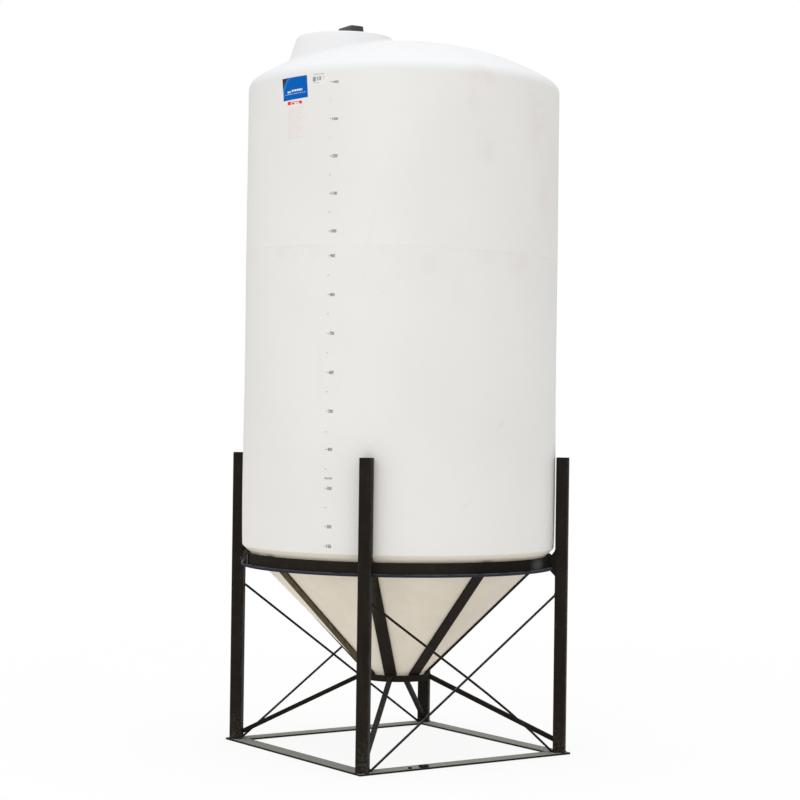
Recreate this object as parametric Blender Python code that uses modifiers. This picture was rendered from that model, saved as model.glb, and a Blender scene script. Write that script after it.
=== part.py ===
# Vertical cone-bottom storage tank in a welded steel stand.
# Metres, +Z up. The origin is on the floor, under the middle of the tank.
# The base square's sides run along X and Y, and the legs stand on its corners.

import math

import bmesh
import bpy
from mathutils import Matrix, Vector

INCH = 0.0254
GAP = 0.0003

# Moulded tank
TANK_RADIUS = 32.0 * INCH
TANK_SKIN = 0.32 * INCH
SHOULDER_HEIGHT = 134.6 * INCH
DOME_TOP_HEIGHT = 144.4 * INCH
DOME_EDGE_RADIUS = 30.3 * INCH
DOME_EDGE_HEIGHT = 137.0 * INCH
DOME_FALL_POWER = 2.35
DOME_EDGE_INSET_SHARE = 0.5
CONE_OFFSET = 9.55 * INCH
KNUCKLE_RADIUS = 0.5 * INCH
CONE_TIP_HEIGHT = 14.4 * INCH
TANK_STEPS = 72

# Manway on the dome, seen from above at an angle from -Y towards +X
MANWAY_ANGLE = math.radians(-90)
MANWAY_DISTANCE = 14.8 * INCH
MANWAY_RIM_RADIUS = 9.75 * INCH
MANWAY_RIM_HEIGHT = 144.4 * INCH
MANWAY_ROOT_HEIGHT = 136.5 * INCH
MANWAY_TAPER = math.tan(math.radians(17.5))
MANWAY_RIM_ROUND = 0.3 * INCH
MANWAY_SKIN = 0.45 * INCH
MANWAY_MOUTH_RADIUS = 7.9 * INCH
MANWAY_STEPS = 48

# Screw-on lid and its vent hood
LID_RADIUS = 8.3 * INCH
LID_FLANGE = 0.16 * INCH
LID_CROWN_RADIUS = 5.9 * INCH
LID_CROWN_RISE = 0.3 * INCH
LID_CROWN_SLOPE = 0.4 * INCH
LID_CROWN_FOOT = 0.1 * INCH
LID_EDGE_CHAMFER = 0.05 * INCH
LID_PLUG_DEPTH = 0.9 * INCH
LID_PLUG_CLEARANCE = 0.15 * INCH
LID_SKIN = 0.25 * INCH
VENT_TURN = math.radians(-3.5)
VENT_RIGHT = 1.38 * INCH
VENT_FORWARD = 0.05 * INCH
VENT_LENGTH = 5.6 * INCH
VENT_WIDTH = 3.15 * INCH
VENT_TAPER = 0.12 * INCH
VENT_RISE = 2.35 * INCH
VENT_ROUND = 0.25 * INCH

# Steel stand
LEG_DISTANCE = 33.87 * INCH
LEG_SIZE = 2.5 * INCH
LEG_WALL = 0.1875 * INCH
LEG_CORNER = 0.36 * INCH
LEG_TOP_HEIGHT = 60.2 * INCH
BASE_HALF_SIDE = 25.56 * INCH
BASE_BAR_WIDTH = 3.5 * INCH
BASE_BAR_THICKNESS = 0.375 * INCH

TOP_RING_RADIUS = 31.6 * INCH
TOP_RING_BOTTOM = 37.4 * INCH
TOP_RING_HEIGHT = 2.75 * INCH
TOP_RING_THICKNESS = 0.6 * INCH
TOP_RING_FLANGE_RADIUS = 32.25 * INCH
TOP_RING_FLANGE_THICKNESS = 0.55 * INCH
TOP_RING_FLANGE_CHAMFER = 0.12 * INCH

LOWER_RING_RADIUS = 7.03 * INCH
LOWER_RING_BOTTOM = 14.2 * INCH
LOWER_RING_HEIGHT = 1.3 * INCH
LOWER_RING_THICKNESS = 0.375 * INCH
LOWER_RING_STEPS = 48

RIB_COUNT = 8
RIB_WIDTH = 2.5 * INCH
RIB_THICKNESS = 0.375 * INCH
RIB_HEAD_DROP = 0.03 * INCH

STRUT_SIZE = 0.9 * INCH
STRUT_WALL = 0.12 * INCH

ROD_RADIUS = 0.25 * INCH
ROD_HIGH_HEIGHT = 32.35 * INCH
ROD_LOW_HEIGHT = 0.61 * INCH
ROD_BOW_PIECES = 8

BRACKET_WIDTH = 2.2 * INCH
BRACKET_TOP_HEIGHT = 41.35 * INCH
BRACKET_BOTTOM_HEIGHT = 36.2 * INCH
BRACKET_LIP = 0.15 * INCH

# How far a cutter runs past the body that it cuts
OVERRUN = 2 * INCH

# The legs' names and the way each lies from the tank's axis
CORNERS = {
    "front_left": (-1, -1),
    "front_right": (1, -1),
    "back_right": (1, 1),
    "back_left": (-1, 1),
}

# The heights of each strut's head and foot. The stand is hand-made, and they aren't all alike.
STRUT_HEIGHTS = {
    "front_left": (14.75 * INCH, 1.85 * INCH),
    "front_right": (14.75 * INCH, 3.0 * INCH),
    "back_right": (14.4 * INCH, 1.85 * INCH),
    "back_left": (14.75 * INCH, 1.85 * INCH),
}

# One rod is bent upward
ROD_BOWS = {"front_rising_left": 0.98 * INCH}


def clear_scene():
    for old in list(bpy.data.objects):
        bpy.data.objects.remove(old, do_unlink=True)


def make_collection(name, hidden=False):
    collection = bpy.data.collections.new(name)
    bpy.context.scene.collection.children.link(collection)
    collection.hide_render = hidden
    return collection


def make_material(name, colour, roughness, metallic=0.0):
    material = bpy.data.materials.new(name)
    material.use_nodes = True
    shader = material.node_tree.nodes["Principled BSDF"]
    shader.inputs["Base Color"].default_value = (*colour, 1.0)
    shader.inputs["Roughness"].default_value = roughness
    shader.inputs["Metallic"].default_value = metallic
    return material


def white_plastic(name):
    return make_material(name + "_polyethylene", (0.80, 0.79, 0.76), 0.45)


def dark_plastic(name):
    return make_material(name + "_dark_plastic", (0.045, 0.05, 0.065), 0.5)


def black_paint(name):
    return make_material(name + "_black_paint", (0.018, 0.016, 0.014), 0.35, 0.3)


def add_object(name, mesh, collection, material=None):
    part = bpy.data.objects.new(name, mesh)
    collection.objects.link(part)
    if material is not None:
        mesh.materials.append(material)
    return part


def shade_round(part, angle=math.radians(35)):
    part.data.shade_smooth()
    part.data.set_sharp_from_angle(angle=angle)


def profile_mesh(name, points, closed):
    """A line of vertices and edges in the XZ plane, for a Screw modifier to turn."""
    mesh = bpy.data.meshes.new(name)
    edges = [(i, i + 1) for i in range(len(points) - 1)]
    if closed:
        edges.append((len(points) - 1, 0))
    mesh.from_pydata([(radius, 0.0, height) for radius, height in points], edges, [])
    return mesh


def turned(name, points, steps, collection, material=None, closed=True):
    """A body of revolution. The profile runs down its outer side."""
    part = add_object(name, profile_mesh(name, points, closed), collection)
    screw = part.modifiers.new("turn", "SCREW")
    screw.axis = "Z"
    screw.steps = steps
    screw.render_steps = steps
    screw.use_merge_vertices = True
    screw.merge_threshold = 0.0001
    screw.use_smooth_shade = False
    return bake(part, material)


def bake(part, material=None):
    """Replaces an object's mesh or curve by its evaluated, welded mesh."""
    bpy.context.view_layer.update()
    depsgraph = bpy.context.evaluated_depsgraph_get()
    mesh = bpy.data.meshes.new_from_object(part.evaluated_get(depsgraph))
    shape = bmesh.new()
    shape.from_mesh(mesh)
    bmesh.ops.remove_doubles(shape, verts=shape.verts, dist=0.00001)
    bmesh.ops.recalc_face_normals(shape, faces=shape.faces)
    shape.to_mesh(mesh)
    shape.free()
    mesh.materials.clear()
    name = part.name
    collection = part.users_collection[0]
    placement = part.matrix_world.copy()
    bpy.data.objects.remove(part, do_unlink=True)
    mesh.name = name
    baked = add_object(name, mesh, collection, material)
    baked.matrix_world = placement
    return baked


def extruded(name, loops, thickness, collection, material=None, placement=None):
    """A flat outline with a thickness, from a 2D curve. Inner loops are holes."""
    curve = bpy.data.curves.new(name, "CURVE")
    curve.dimensions = "2D"
    curve.fill_mode = "BOTH"
    curve.extrude = thickness / 2
    for loop in loops:
        spline = curve.splines.new("POLY")
        spline.points.add(len(loop) - 1)
        for point, (x, y) in zip(spline.points, loop):
            point.co = (x, y, 0.0, 1.0)
        spline.use_cyclic_u = True
    part = bpy.data.objects.new(name, curve)
    collection.objects.link(part)
    if placement is not None:
        part.matrix_world = placement
    return bake(part, material)


def rod(name, points, radius, collection, material):
    """A round bar along a line of points."""
    curve = bpy.data.curves.new(name, "CURVE")
    curve.dimensions = "3D"
    curve.bevel_depth = radius
    curve.bevel_resolution = 2
    curve.use_fill_caps = True
    spline = curve.splines.new("POLY")
    spline.points.add(len(points) - 1)
    for place, point in zip(spline.points, points):
        place.co = (*point, 1.0)
    part = bpy.data.objects.new(name, curve)
    collection.objects.link(part)
    return bake(part, material)


def cut(part, cutter, operation="DIFFERENCE"):
    """Cuts one object by another, or joins them, and bakes the result."""
    boolean = part.modifiers.new("cut", "BOOLEAN")
    boolean.operation = operation
    boolean.solver = "EXACT"
    boolean.object = cutter
    cutter.hide_render = True
    cutter.display_type = "WIRE"
    material = part.data.materials[0] if part.data.materials else None
    return bake(part, material)


def radial_plane(direction):
    """Places an outline drawn as (radius, height) in the upright plane through the axis."""
    outward = Vector((direction[0], direction[1], 0.0)).normalized()
    upward = Vector((0.0, 0.0, 1.0))
    sideways = outward.cross(upward)
    return Matrix((outward, upward, sideways)).transposed().to_4x4()


def facet_reach(radius, steps, half_width):
    """How far from the axis a ring's faceted wall lies, at half_width beside a corner."""
    step = 2 * math.pi / steps
    corner = 0
    while radius * math.sin((corner + 1) * step) < half_width:
        corner += 1
    near = (radius * math.cos(corner * step), radius * math.sin(corner * step))
    far = (radius * math.cos((corner + 1) * step), radius * math.sin((corner + 1) * step))
    share = (half_width - near[1]) / (far[1] - near[1])
    return near[0] + share * (far[0] - near[0])


def arc(centre, radius, start, end, pieces):
    """Points along an arc in the profile plane, angles in radians from +X."""
    points = []
    for i in range(pieces + 1):
        angle = start + (end - start) * i / pieces
        points.append((centre[0] + radius * math.cos(angle), centre[1] + radius * math.sin(angle)))
    return points


def rounded_square(half, corner, pieces=4):
    """A square outline with round corners, counter-clockwise."""
    points = []
    for quarter in range(4):
        angle = quarter * math.pi / 2
        out = half - corner
        centre_x = out * (1 if quarter in (0, 3) else -1)
        centre_y = out * (1 if quarter in (0, 1) else -1)
        points += arc((centre_x, centre_y), corner, angle, angle + math.pi / 2, pieces)
    return points


def dome_profile(inset):
    """The roof from its top to the wall's upper edge. The inset draws the inner face."""
    edge_radius = DOME_EDGE_RADIUS - inset * DOME_EDGE_INSET_SHARE
    edge_height = DOME_EDGE_HEIGHT - inset
    top = DOME_TOP_HEIGHT - inset
    drop = top - edge_height
    crown_pieces = 9
    points = []
    for i in range(crown_pieces + 1):
        share = i / crown_pieces
        points.append((edge_radius * share, top - drop * share ** DOME_FALL_POWER))
    wall = TANK_RADIUS - inset
    start = Vector(points[-1])
    end = Vector((wall, SHOULDER_HEIGHT))
    slope = -DOME_FALL_POWER * drop / edge_radius
    corner = Vector((wall, start.y + slope * (wall - start.x)))
    shoulder_pieces = 5
    for i in range(1, shoulder_pieces + 1):
        t = i / shoulder_pieces
        point = (1 - t) ** 2 * start + 2 * t * (1 - t) * corner + t ** 2 * end
        points.append((point.x, point.y))
    return points


def cone_profile(inset):
    """The hopper from the wall's lower edge to its tip. The inset draws the inner face."""
    slant_inset = inset * math.sqrt(2)
    wall = TANK_RADIUS - inset
    offset = CONE_OFFSET + slant_inset
    bend = KNUCKLE_RADIUS - inset
    meeting = wall + offset
    tangent = bend * math.tan(math.pi / 8)
    centre = (wall - bend, meeting + tangent)
    points = arc(centre, bend, 0.0, -math.pi / 4, 4)
    tip = CONE_TIP_HEIGHT + inset
    points.append((tip - offset, tip))
    return points, centre[1]


def build_wall(parts):
    top = SHOULDER_HEIGHT - GAP
    bottom = cone_profile(0.0)[1] + GAP
    inner = TANK_RADIUS - TANK_SKIN
    points = [(TANK_RADIUS, top), (TANK_RADIUS, bottom), (inner, bottom), (inner, top)]
    wall = turned("tank_wall", points, TANK_STEPS, parts, white_plastic("tank_wall"))
    shade_round(wall)


def build_cone(parts):
    outer, top = cone_profile(0.0)
    inner, _ = cone_profile(TANK_SKIN)
    inner[0] = (inner[0][0], top)
    points = outer + [(0.0, outer[-1][1]), (0.0, inner[-1][1])] + inner[::-1]
    cone = turned("tank_cone", points, TANK_STEPS, parts, white_plastic("tank_cone"))
    shade_round(cone)


def manway_place():
    return Vector((math.sin(MANWAY_ANGLE), -math.cos(MANWAY_ANGLE), 0.0)) * MANWAY_DISTANCE


def build_dome(parts, cutters):
    """The roof shell with the manway's neck moulded in one with it."""
    outer = dome_profile(0.0) + [(0.0, SHOULDER_HEIGHT)]
    dome = turned("tank_dome", outer, TANK_STEPS, parts, white_plastic("tank_dome"), closed=False)

    root = MANWAY_ROOT_HEIGHT
    rim_edge = MANWAY_RIM_HEIGHT - MANWAY_RIM_ROUND
    widest = MANWAY_RIM_RADIUS + (rim_edge - root) * MANWAY_TAPER
    rim_pieces = 3
    rim = arc((MANWAY_RIM_RADIUS - MANWAY_RIM_ROUND, rim_edge), MANWAY_RIM_ROUND,
              math.pi / 2, 0.0, rim_pieces)
    neck_points = [(0.0, MANWAY_RIM_HEIGHT)] + rim + [(widest, root), (0.0, root)]
    neck = turned("neck_outside", neck_points, MANWAY_STEPS, cutters, closed=False)
    neck.location = manway_place()
    dome = cut(dome, neck, "UNION")

    inside = dome_profile(TANK_SKIN)
    inside += [(inside[-1][0], SHOULDER_HEIGHT - OVERRUN), (0.0, SHOULDER_HEIGHT - OVERRUN)]
    hollow = turned("dome_inside", inside, TANK_STEPS, cutters, closed=False)
    dome = cut(dome, hollow)

    ceiling = MANWAY_RIM_HEIGHT - MANWAY_SKIN
    narrow = MANWAY_RIM_RADIUS - MANWAY_SKIN
    wide = narrow + (ceiling - root) * MANWAY_TAPER
    over = MANWAY_RIM_HEIGHT + OVERRUN
    throat_points = [(0.0, over), (MANWAY_MOUTH_RADIUS, over), (MANWAY_MOUTH_RADIUS, ceiling),
                     (narrow, ceiling), (wide, root), (0.0, root)]
    throat = turned("neck_inside", throat_points, MANWAY_STEPS, cutters, closed=False)
    throat.location = manway_place()
    dome = cut(dome, throat)
    shade_round(dome)


def lid_floor():
    return MANWAY_RIM_HEIGHT + GAP


def build_lid(parts):
    """A turned lid: a flange on the rim, a crown over it and a plug in the mouth."""
    floor = lid_floor()
    flange_top = floor + LID_FLANGE
    crown_top = flange_top + LID_CROWN_RISE
    plug = MANWAY_MOUTH_RADIUS - LID_PLUG_CLEARANCE
    plug_bottom = floor - LID_PLUG_DEPTH
    points = [
        (0.0, crown_top),
        (LID_CROWN_RADIUS - LID_CROWN_SLOPE, crown_top),
        (LID_CROWN_RADIUS, flange_top + LID_CROWN_FOOT),
        (LID_CROWN_RADIUS + LID_CROWN_FOOT, flange_top),
        (LID_RADIUS - LID_EDGE_CHAMFER, flange_top),
        (LID_RADIUS, flange_top - LID_EDGE_CHAMFER),
        (LID_RADIUS, floor),
        (plug, floor),
        (plug, plug_bottom),
        (plug - LID_SKIN, plug_bottom),
        (plug - LID_SKIN, floor),
        (0.0, floor),
    ]
    lid = turned("manway_lid", points, MANWAY_STEPS, parts, dark_plastic("manway_lid"), closed=False)
    lid.location = manway_place()
    shade_round(lid)


def build_vent(parts):
    """The blunt hood on the lid, a little off the lid's middle."""
    base = lid_floor() + LID_FLANGE + LID_CROWN_RISE + GAP
    top = MANWAY_RIM_HEIGHT + VENT_RISE
    foot = VENT_WIDTH / 2
    shoulder = foot - VENT_TAPER
    outline = [(-foot, base), (foot, base), (shoulder, top), (-shoulder, top)]
    across = Vector((math.cos(VENT_TURN), math.sin(VENT_TURN), 0.0))
    upward = Vector((0.0, 0.0, 1.0))
    forward = across.cross(upward)
    turn = Matrix((across, upward, forward)).transposed().to_4x4()
    place = manway_place() + across * VENT_RIGHT + forward * VENT_FORWARD
    hood = extruded("lid_vent", [outline], VENT_LENGTH, parts, dark_plastic("lid_vent"),
                    Matrix.Translation(place) @ turn)
    bevel = hood.modifiers.new("round", "BEVEL")
    bevel.width = VENT_ROUND
    bevel.segments = 2
    bevel.limit_method = "ANGLE"


def build_base(parts):
    """Four flat bars with mitred ends make the square that stands on the floor."""
    outer = BASE_HALF_SIDE
    inner = BASE_HALF_SIDE - BASE_BAR_WIDTH
    outline = [
        (-(outer - GAP), -outer),
        (outer - GAP, -outer),
        (inner - GAP, -inner),
        (-(inner - GAP), -inner),
    ]
    for turn, side in enumerate(("front", "right", "back", "left")):
        name = "base_bar_" + side
        placement = Matrix.Translation((0.0, 0.0, BASE_BAR_THICKNESS / 2))
        placement @= Matrix.Rotation(turn * math.pi / 2, 4, "Z")
        extruded(name, [outline], BASE_BAR_THICKNESS, parts, black_paint(name), placement)


def leg_places():
    reach = LEG_DISTANCE / math.sqrt(2)
    return {name: Vector((x * reach, y * reach, 0.0)) for name, (x, y) in CORNERS.items()}


def build_legs(parts):
    """Square tubes that face the tank's axis and run up past the ring."""
    foot = BASE_BAR_THICKNESS + GAP
    length = LEG_TOP_HEIGHT - foot
    outside = rounded_square(LEG_SIZE / 2, LEG_CORNER)
    inside = rounded_square(LEG_SIZE / 2 - LEG_WALL, LEG_CORNER - LEG_WALL)
    for corner, place in leg_places().items():
        name = "leg_" + corner
        placement = Matrix.Translation(place + Vector((0.0, 0.0, foot + length / 2)))
        placement @= Matrix.Rotation(math.pi / 4, 4, "Z")
        leg = extruded(name, [outside, inside], length, parts, black_paint(name), placement)
        shade_round(leg)


def build_top_ring(parts):
    """A rolled angle: an upright web with a flange round its lower edge."""
    top = TOP_RING_BOTTOM + TOP_RING_HEIGHT
    flange_top = TOP_RING_BOTTOM + TOP_RING_FLANGE_THICKNESS
    inner = TOP_RING_RADIUS - TOP_RING_THICKNESS
    points = [
        (TOP_RING_RADIUS, top),
        (TOP_RING_RADIUS, flange_top),
        (TOP_RING_FLANGE_RADIUS - TOP_RING_FLANGE_CHAMFER, flange_top),
        (TOP_RING_FLANGE_RADIUS, flange_top - TOP_RING_FLANGE_CHAMFER),
        (TOP_RING_FLANGE_RADIUS, TOP_RING_BOTTOM),
        (inner, TOP_RING_BOTTOM),
        (inner, top),
    ]
    ring = turned("top_ring", points, TANK_STEPS, parts, black_paint("top_ring"))
    shade_round(ring)


def build_lower_ring(parts):
    """The flat bar rolled into a hoop that gathers the ribs round the cone's tip."""
    top = LOWER_RING_BOTTOM + LOWER_RING_HEIGHT
    inner = LOWER_RING_RADIUS - LOWER_RING_THICKNESS
    points = [(LOWER_RING_RADIUS, top), (LOWER_RING_RADIUS, LOWER_RING_BOTTOM),
              (inner, LOWER_RING_BOTTOM), (inner, top)]
    ring = turned("lower_ring", points, LOWER_RING_STEPS, parts, black_paint("lower_ring"))
    shade_round(ring)


def build_ribs(parts):
    """Flat bars laid on the cone, from the top ring's inside to the lower ring's inside."""
    half = RIB_WIDTH / 2
    near = CONE_OFFSET - GAP * math.sqrt(2)
    far = CONE_OFFSET - (GAP + RIB_THICKNESS) * math.sqrt(2)
    top_inner = TOP_RING_RADIUS - TOP_RING_THICKNESS
    head = facet_reach(top_inner, TANK_STEPS, half) - GAP
    head_top = TOP_RING_BOTTOM + TOP_RING_HEIGHT - RIB_HEAD_DROP
    lower_inner = LOWER_RING_RADIUS - LOWER_RING_THICKNESS
    foot = facet_reach(lower_inner, LOWER_RING_STEPS, half) - GAP
    foot_inside = foot - RIB_THICKNESS
    outline = [
        (head_top - near, head_top),
        (head, head_top),
        (head, head + far),
        (foot, foot + far),
        (foot, LOWER_RING_BOTTOM),
        (foot_inside, LOWER_RING_BOTTOM),
        (foot_inside, foot_inside + near),
    ]
    for i in range(RIB_COUNT):
        name = "cone_rib_" + str(i + 1)
        angle = i * 2 * math.pi / RIB_COUNT
        direction = (math.sin(angle), -math.cos(angle))
        extruded(name, [outline], RIB_WIDTH, parts, black_paint(name), radial_plane(direction))


def strut_outline(heights, overrun, size):
    """A strut's side view as (radius, height), run past its head and foot by the overrun."""
    head_height, foot_height = heights
    head = LOWER_RING_RADIUS + GAP
    foot = LEG_DISTANCE - LEG_SIZE / 2 - GAP
    slope = (foot_height - head_height) / (foot - head)
    drop = size / 2 * math.sqrt(1 + slope ** 2)
    start = (head - overrun, head_height - slope * overrun)
    end = (foot + overrun, foot_height + slope * overrun)
    return [(start[0], start[1] - drop), (end[0], end[1] - drop),
            (end[0], end[1] + drop), (start[0], start[1] + drop)]


def build_struts(parts, cutters):
    """Small square tubes from each leg's foot up to the lower ring."""
    bore = STRUT_SIZE - 2 * STRUT_WALL
    for corner, direction in CORNERS.items():
        name = "strut_" + corner
        placement = radial_plane(direction)
        heights = STRUT_HEIGHTS[corner]
        strut = extruded(name, [strut_outline(heights, 0.0, STRUT_SIZE)], STRUT_SIZE, parts,
                         black_paint(name), placement)
        hollow = extruded(name + "_bore", [strut_outline(heights, OVERRUN, bore)], bore,
                          cutters, None, placement)
        cut(strut, hollow)


def bow_lift(share, bow):
    """How far a bent rod rises over a straight one. It's bent most at a third of its length."""
    peak = 1 / 3
    return bow * share * (1 - share) ** 2 / (peak * (1 - peak) ** 2)


def rod_end(run, beside, bow):
    """How far out a slanting rod reaches before its end meets a leg's round corner."""
    corner_centre = run - (LEG_SIZE / 2 - LEG_CORNER) * math.sqrt(2)
    first_share = 1 / ROD_BOW_PIECES
    rise = ROD_HIGH_HEIGHT - ROD_LOW_HEIGHT + bow_lift(first_share, bow) / first_share
    end_face = ROD_RADIUS * math.sin(math.atan2(rise, 2 * corner_centre))
    samples = 40
    ends = []
    for i in range(samples + 1):
        across = ROD_RADIUS * (2 * i / samples - 1)
        bulge = math.sqrt(max(0.0, LEG_CORNER ** 2 - (beside + across) ** 2))
        edge = end_face * math.sqrt(max(0.0, 1 - (across / ROD_RADIUS) ** 2))
        ends.append(corner_centre - bulge - edge)
    return min(ends) - GAP


def build_rods(parts):
    """Crossed round bars brace the front and the back of the stand."""
    run = leg_places()["front_right"].x
    beside = ROD_RADIUS + GAP / 2
    for side, sign in (("front", -1), ("back", 1)):
        for slant, way in (("rising_right", 1), ("rising_left", -1)):
            bow = ROD_BOWS.get(side + "_" + slant, 0.0)
            pieces = ROD_BOW_PIECES if bow else 1
            end = rod_end(run, beside, bow)
            depth = sign * run + sign * way * beside
            low = Vector((-way * end, depth, ROD_LOW_HEIGHT))
            high = Vector((way * end, depth, ROD_HIGH_HEIGHT))
            points = []
            for i in range(pieces + 1):
                share = i / pieces
                points.append(low.lerp(high, share) + Vector((0.0, 0.0, bow_lift(share, bow))))
            name = "brace_rod_" + side + "_" + slant
            bar = rod(name, points, ROD_RADIUS, parts, black_paint(name))
            shade_round(bar, math.radians(50))


def build_brackets(parts):
    """Blocks between the ring and the legs, notched over the flange, with a gusset at each end."""
    ring_face = TOP_RING_RADIUS + GAP
    flange_edge = TOP_RING_FLANGE_RADIUS + GAP
    leg_face = LEG_DISTANCE - LEG_SIZE / 2 - GAP
    ring_top = TOP_RING_BOTTOM + TOP_RING_HEIGHT
    flange_top = TOP_RING_BOTTOM + TOP_RING_FLANGE_THICKNESS + GAP
    flange_bottom = TOP_RING_BOTTOM - GAP
    outline = [
        (ring_face, ring_top - BRACKET_LIP),
        (ring_face, flange_top),
        (flange_edge, flange_top),
        (flange_edge, flange_bottom),
        (ring_face, flange_bottom),
        (ring_face, flange_bottom - BRACKET_LIP),
        (leg_face, BRACKET_BOTTOM_HEIGHT),
        (leg_face, BRACKET_TOP_HEIGHT),
    ]
    for corner, direction in CORNERS.items():
        name = "ring_bracket_" + corner
        extruded(name, [outline], BRACKET_WIDTH, parts, black_paint(name), radial_plane(direction))


def build_tank(parts, cutters):
    build_wall(parts)
    build_dome(parts, cutters)
    build_cone(parts)
    build_lid(parts)
    build_vent(parts)


def build_stand(parts, cutters):
    build_base(parts)
    build_legs(parts)
    build_top_ring(parts)
    build_lower_ring(parts)
    build_ribs(parts)
    build_struts(parts, cutters)
    build_rods(parts)
    build_brackets(parts)


def main():
    clear_scene()
    parts = make_collection("vertical_storage_tank")
    cutters = make_collection("cutters", hidden=True)
    build_tank(parts, cutters)
    build_stand(parts, cutters)


main()
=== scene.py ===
import math
import random

import bpy
from mathutils import Matrix, Vector, noise


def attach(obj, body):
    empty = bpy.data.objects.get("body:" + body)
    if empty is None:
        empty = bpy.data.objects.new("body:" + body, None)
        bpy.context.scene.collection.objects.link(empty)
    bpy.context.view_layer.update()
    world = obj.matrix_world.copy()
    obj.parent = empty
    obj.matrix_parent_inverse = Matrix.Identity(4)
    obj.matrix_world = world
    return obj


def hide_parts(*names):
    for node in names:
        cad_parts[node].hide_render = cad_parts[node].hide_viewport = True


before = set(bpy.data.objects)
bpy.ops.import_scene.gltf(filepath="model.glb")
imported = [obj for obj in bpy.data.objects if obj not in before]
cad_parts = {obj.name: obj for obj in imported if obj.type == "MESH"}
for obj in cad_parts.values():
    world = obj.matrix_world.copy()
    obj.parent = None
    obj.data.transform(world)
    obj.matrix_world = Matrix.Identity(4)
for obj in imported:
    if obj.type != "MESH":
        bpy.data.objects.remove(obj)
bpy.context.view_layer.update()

# Looks of a white cone-bottom storage tank in a black steel stand.
# Metres, +Z up, in the frame of the CAD model. Sizes are written in inches.

INCH = 0.0254
UP = Vector((0.0, 0.0, 1.0))

# Camera, fitted to the photograph
CAMERA_AZIMUTH = math.radians(-34.47)
CAMERA_DISTANCE = 424.0 * INCH
CAMERA_HEIGHT = 68.7 * INCH
CAMERA_PITCH = math.radians(0.38)
CAMERA_ROLL = math.radians(0.77)
CAMERA_LENS = 92.4

# Tank, as in the CAD model
TANK_RADIUS = 32.0
SHOULDER_HEIGHT = 134.6
DOME_TOP = 144.4
DOME_EDGE_RADIUS = 30.3
DOME_EDGE_HEIGHT = 137.0
DOME_FALL_POWER = 2.35
CONE_OFFSET = 9.55
KNUCKLE_RADIUS = 0.5
CONE_TIP_HEIGHT = 14.4
MANWAY_CENTRE = Vector((-14.8, 0.0))
RIM_RADIUS = 9.75
RIM_HEIGHT = 144.4
RIM_ROUND = 0.3
RIM_TAPER = math.tan(math.radians(17.5))
NECK_ROOT_HEIGHT = 136.5
MOUTH_RADIUS = 7.9
LID_RADIUS = 8.3
LID_FLANGE = 0.16
LID_CROWN_RADIUS = 5.9
LID_CROWN_RISE = 0.3
LID_PLUG_DEPTH = 0.9
VENT_TURN = math.radians(-3.5)
VENT_RIGHT = 1.38
VENT_FORWARD = 0.05
VENT_LENGTH = 5.6
VENT_WIDTH = 3.15
VENT_TAPER = 0.12
VENT_RISE = 2.35

# Stand, as in the CAD model
LEG_DISTANCE = 33.87
LEG_HALF = 1.25
BASE_TOP = 0.375
BASE_OUTER = 25.56
BASE_INNER = 22.06
RING_RADIUS = 31.6
RING_INNER = 31.0
RING_BOTTOM = 37.4
RING_TOP = 40.15
RING_FLANGE_RADIUS = 32.25
RING_FLANGE_TOP = 37.95
LOWER_RING_RADIUS = 7.03
LOWER_RING_INNER = 6.655
LOWER_RING_BOTTOM = 14.2
LOWER_RING_TOP = 15.5
RIB_COUNT = 8
RIB_HALF = 1.25
STRUT_HALF = 0.45
STRUT_HEIGHTS = ((14.75, 1.85), (14.75, 3.0), (14.4, 1.85), (14.75, 1.85))
ROD_END_HEIGHTS = (0.61, 32.35)
CORNERS = ((-1, -1), (1, -1), (1, 1), (-1, 1))

# Only in the looks: the neck's fillet, the lid's ribs and lugs, and the hood's extra height
NECK_FILLET = 0.75
LID_RIBS = 24
LID_LUGS = 60
VENT_EXTRA = 0.2

# Fineness of the meshes
SEGMENTS = 240
NECK_STEPS = 40
DOME_STEPS = 40
SHOULDER_STEPS = 14
WALL_STEPS = 51
KNUCKLE_STEPS = 8
CONE_STEPS = 24

# Faint stains on the wall: angle from the camera's direction, height, half sizes in metres,
# colour and strength
STAINS = (
    (28.0, 134.0, (0.14, 0.14, 0.09), (0.735, 0.655, 0.645), 0.5),
    (24.5, 129.5, (0.05, 0.05, 0.09), (0.62, 0.62, 0.60), 0.42),
    (56.0, 127.0, (0.15, 0.15, 0.26), (0.735, 0.655, 0.645), 0.5),
    (30.0, 120.5, (0.1, 0.1, 0.13), (0.645, 0.645, 0.625), 0.4),
    (62.0, 112.0, (0.12, 0.12, 0.2), (0.735, 0.665, 0.65), 0.42),
    (46.0, 99.0, (0.12, 0.12, 0.09), (0.735, 0.655, 0.63), 0.5),
    (10.0, 97.5, (0.08, 0.08, 0.08), (0.735, 0.67, 0.64), 0.42),
    (140.0, 118.0, (0.3, 0.3, 0.3), (0.735, 0.67, 0.65), 0.4),
    (-120.0, 80.0, (0.3, 0.3, 0.5), (0.70, 0.68, 0.64), 0.35),
)

# Rubbed places on the wall: angle, height, lean of the lines in degrees and strength
SCUFFS = ((41.0, 68.5, 38, 0.55), (27.0, 53.0, 38, 0.4), (-3.0, 90.5, -40, 0.25),
          (-165.0, 62.0, 30, 0.5), (105.0, 84.0, -35, 0.4))

# Mould seam round the wall: its height, and its rise for each inch to the camera's right
SEAM_HEIGHT = 100.75
SEAM_SLOPE = -0.0196

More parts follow.
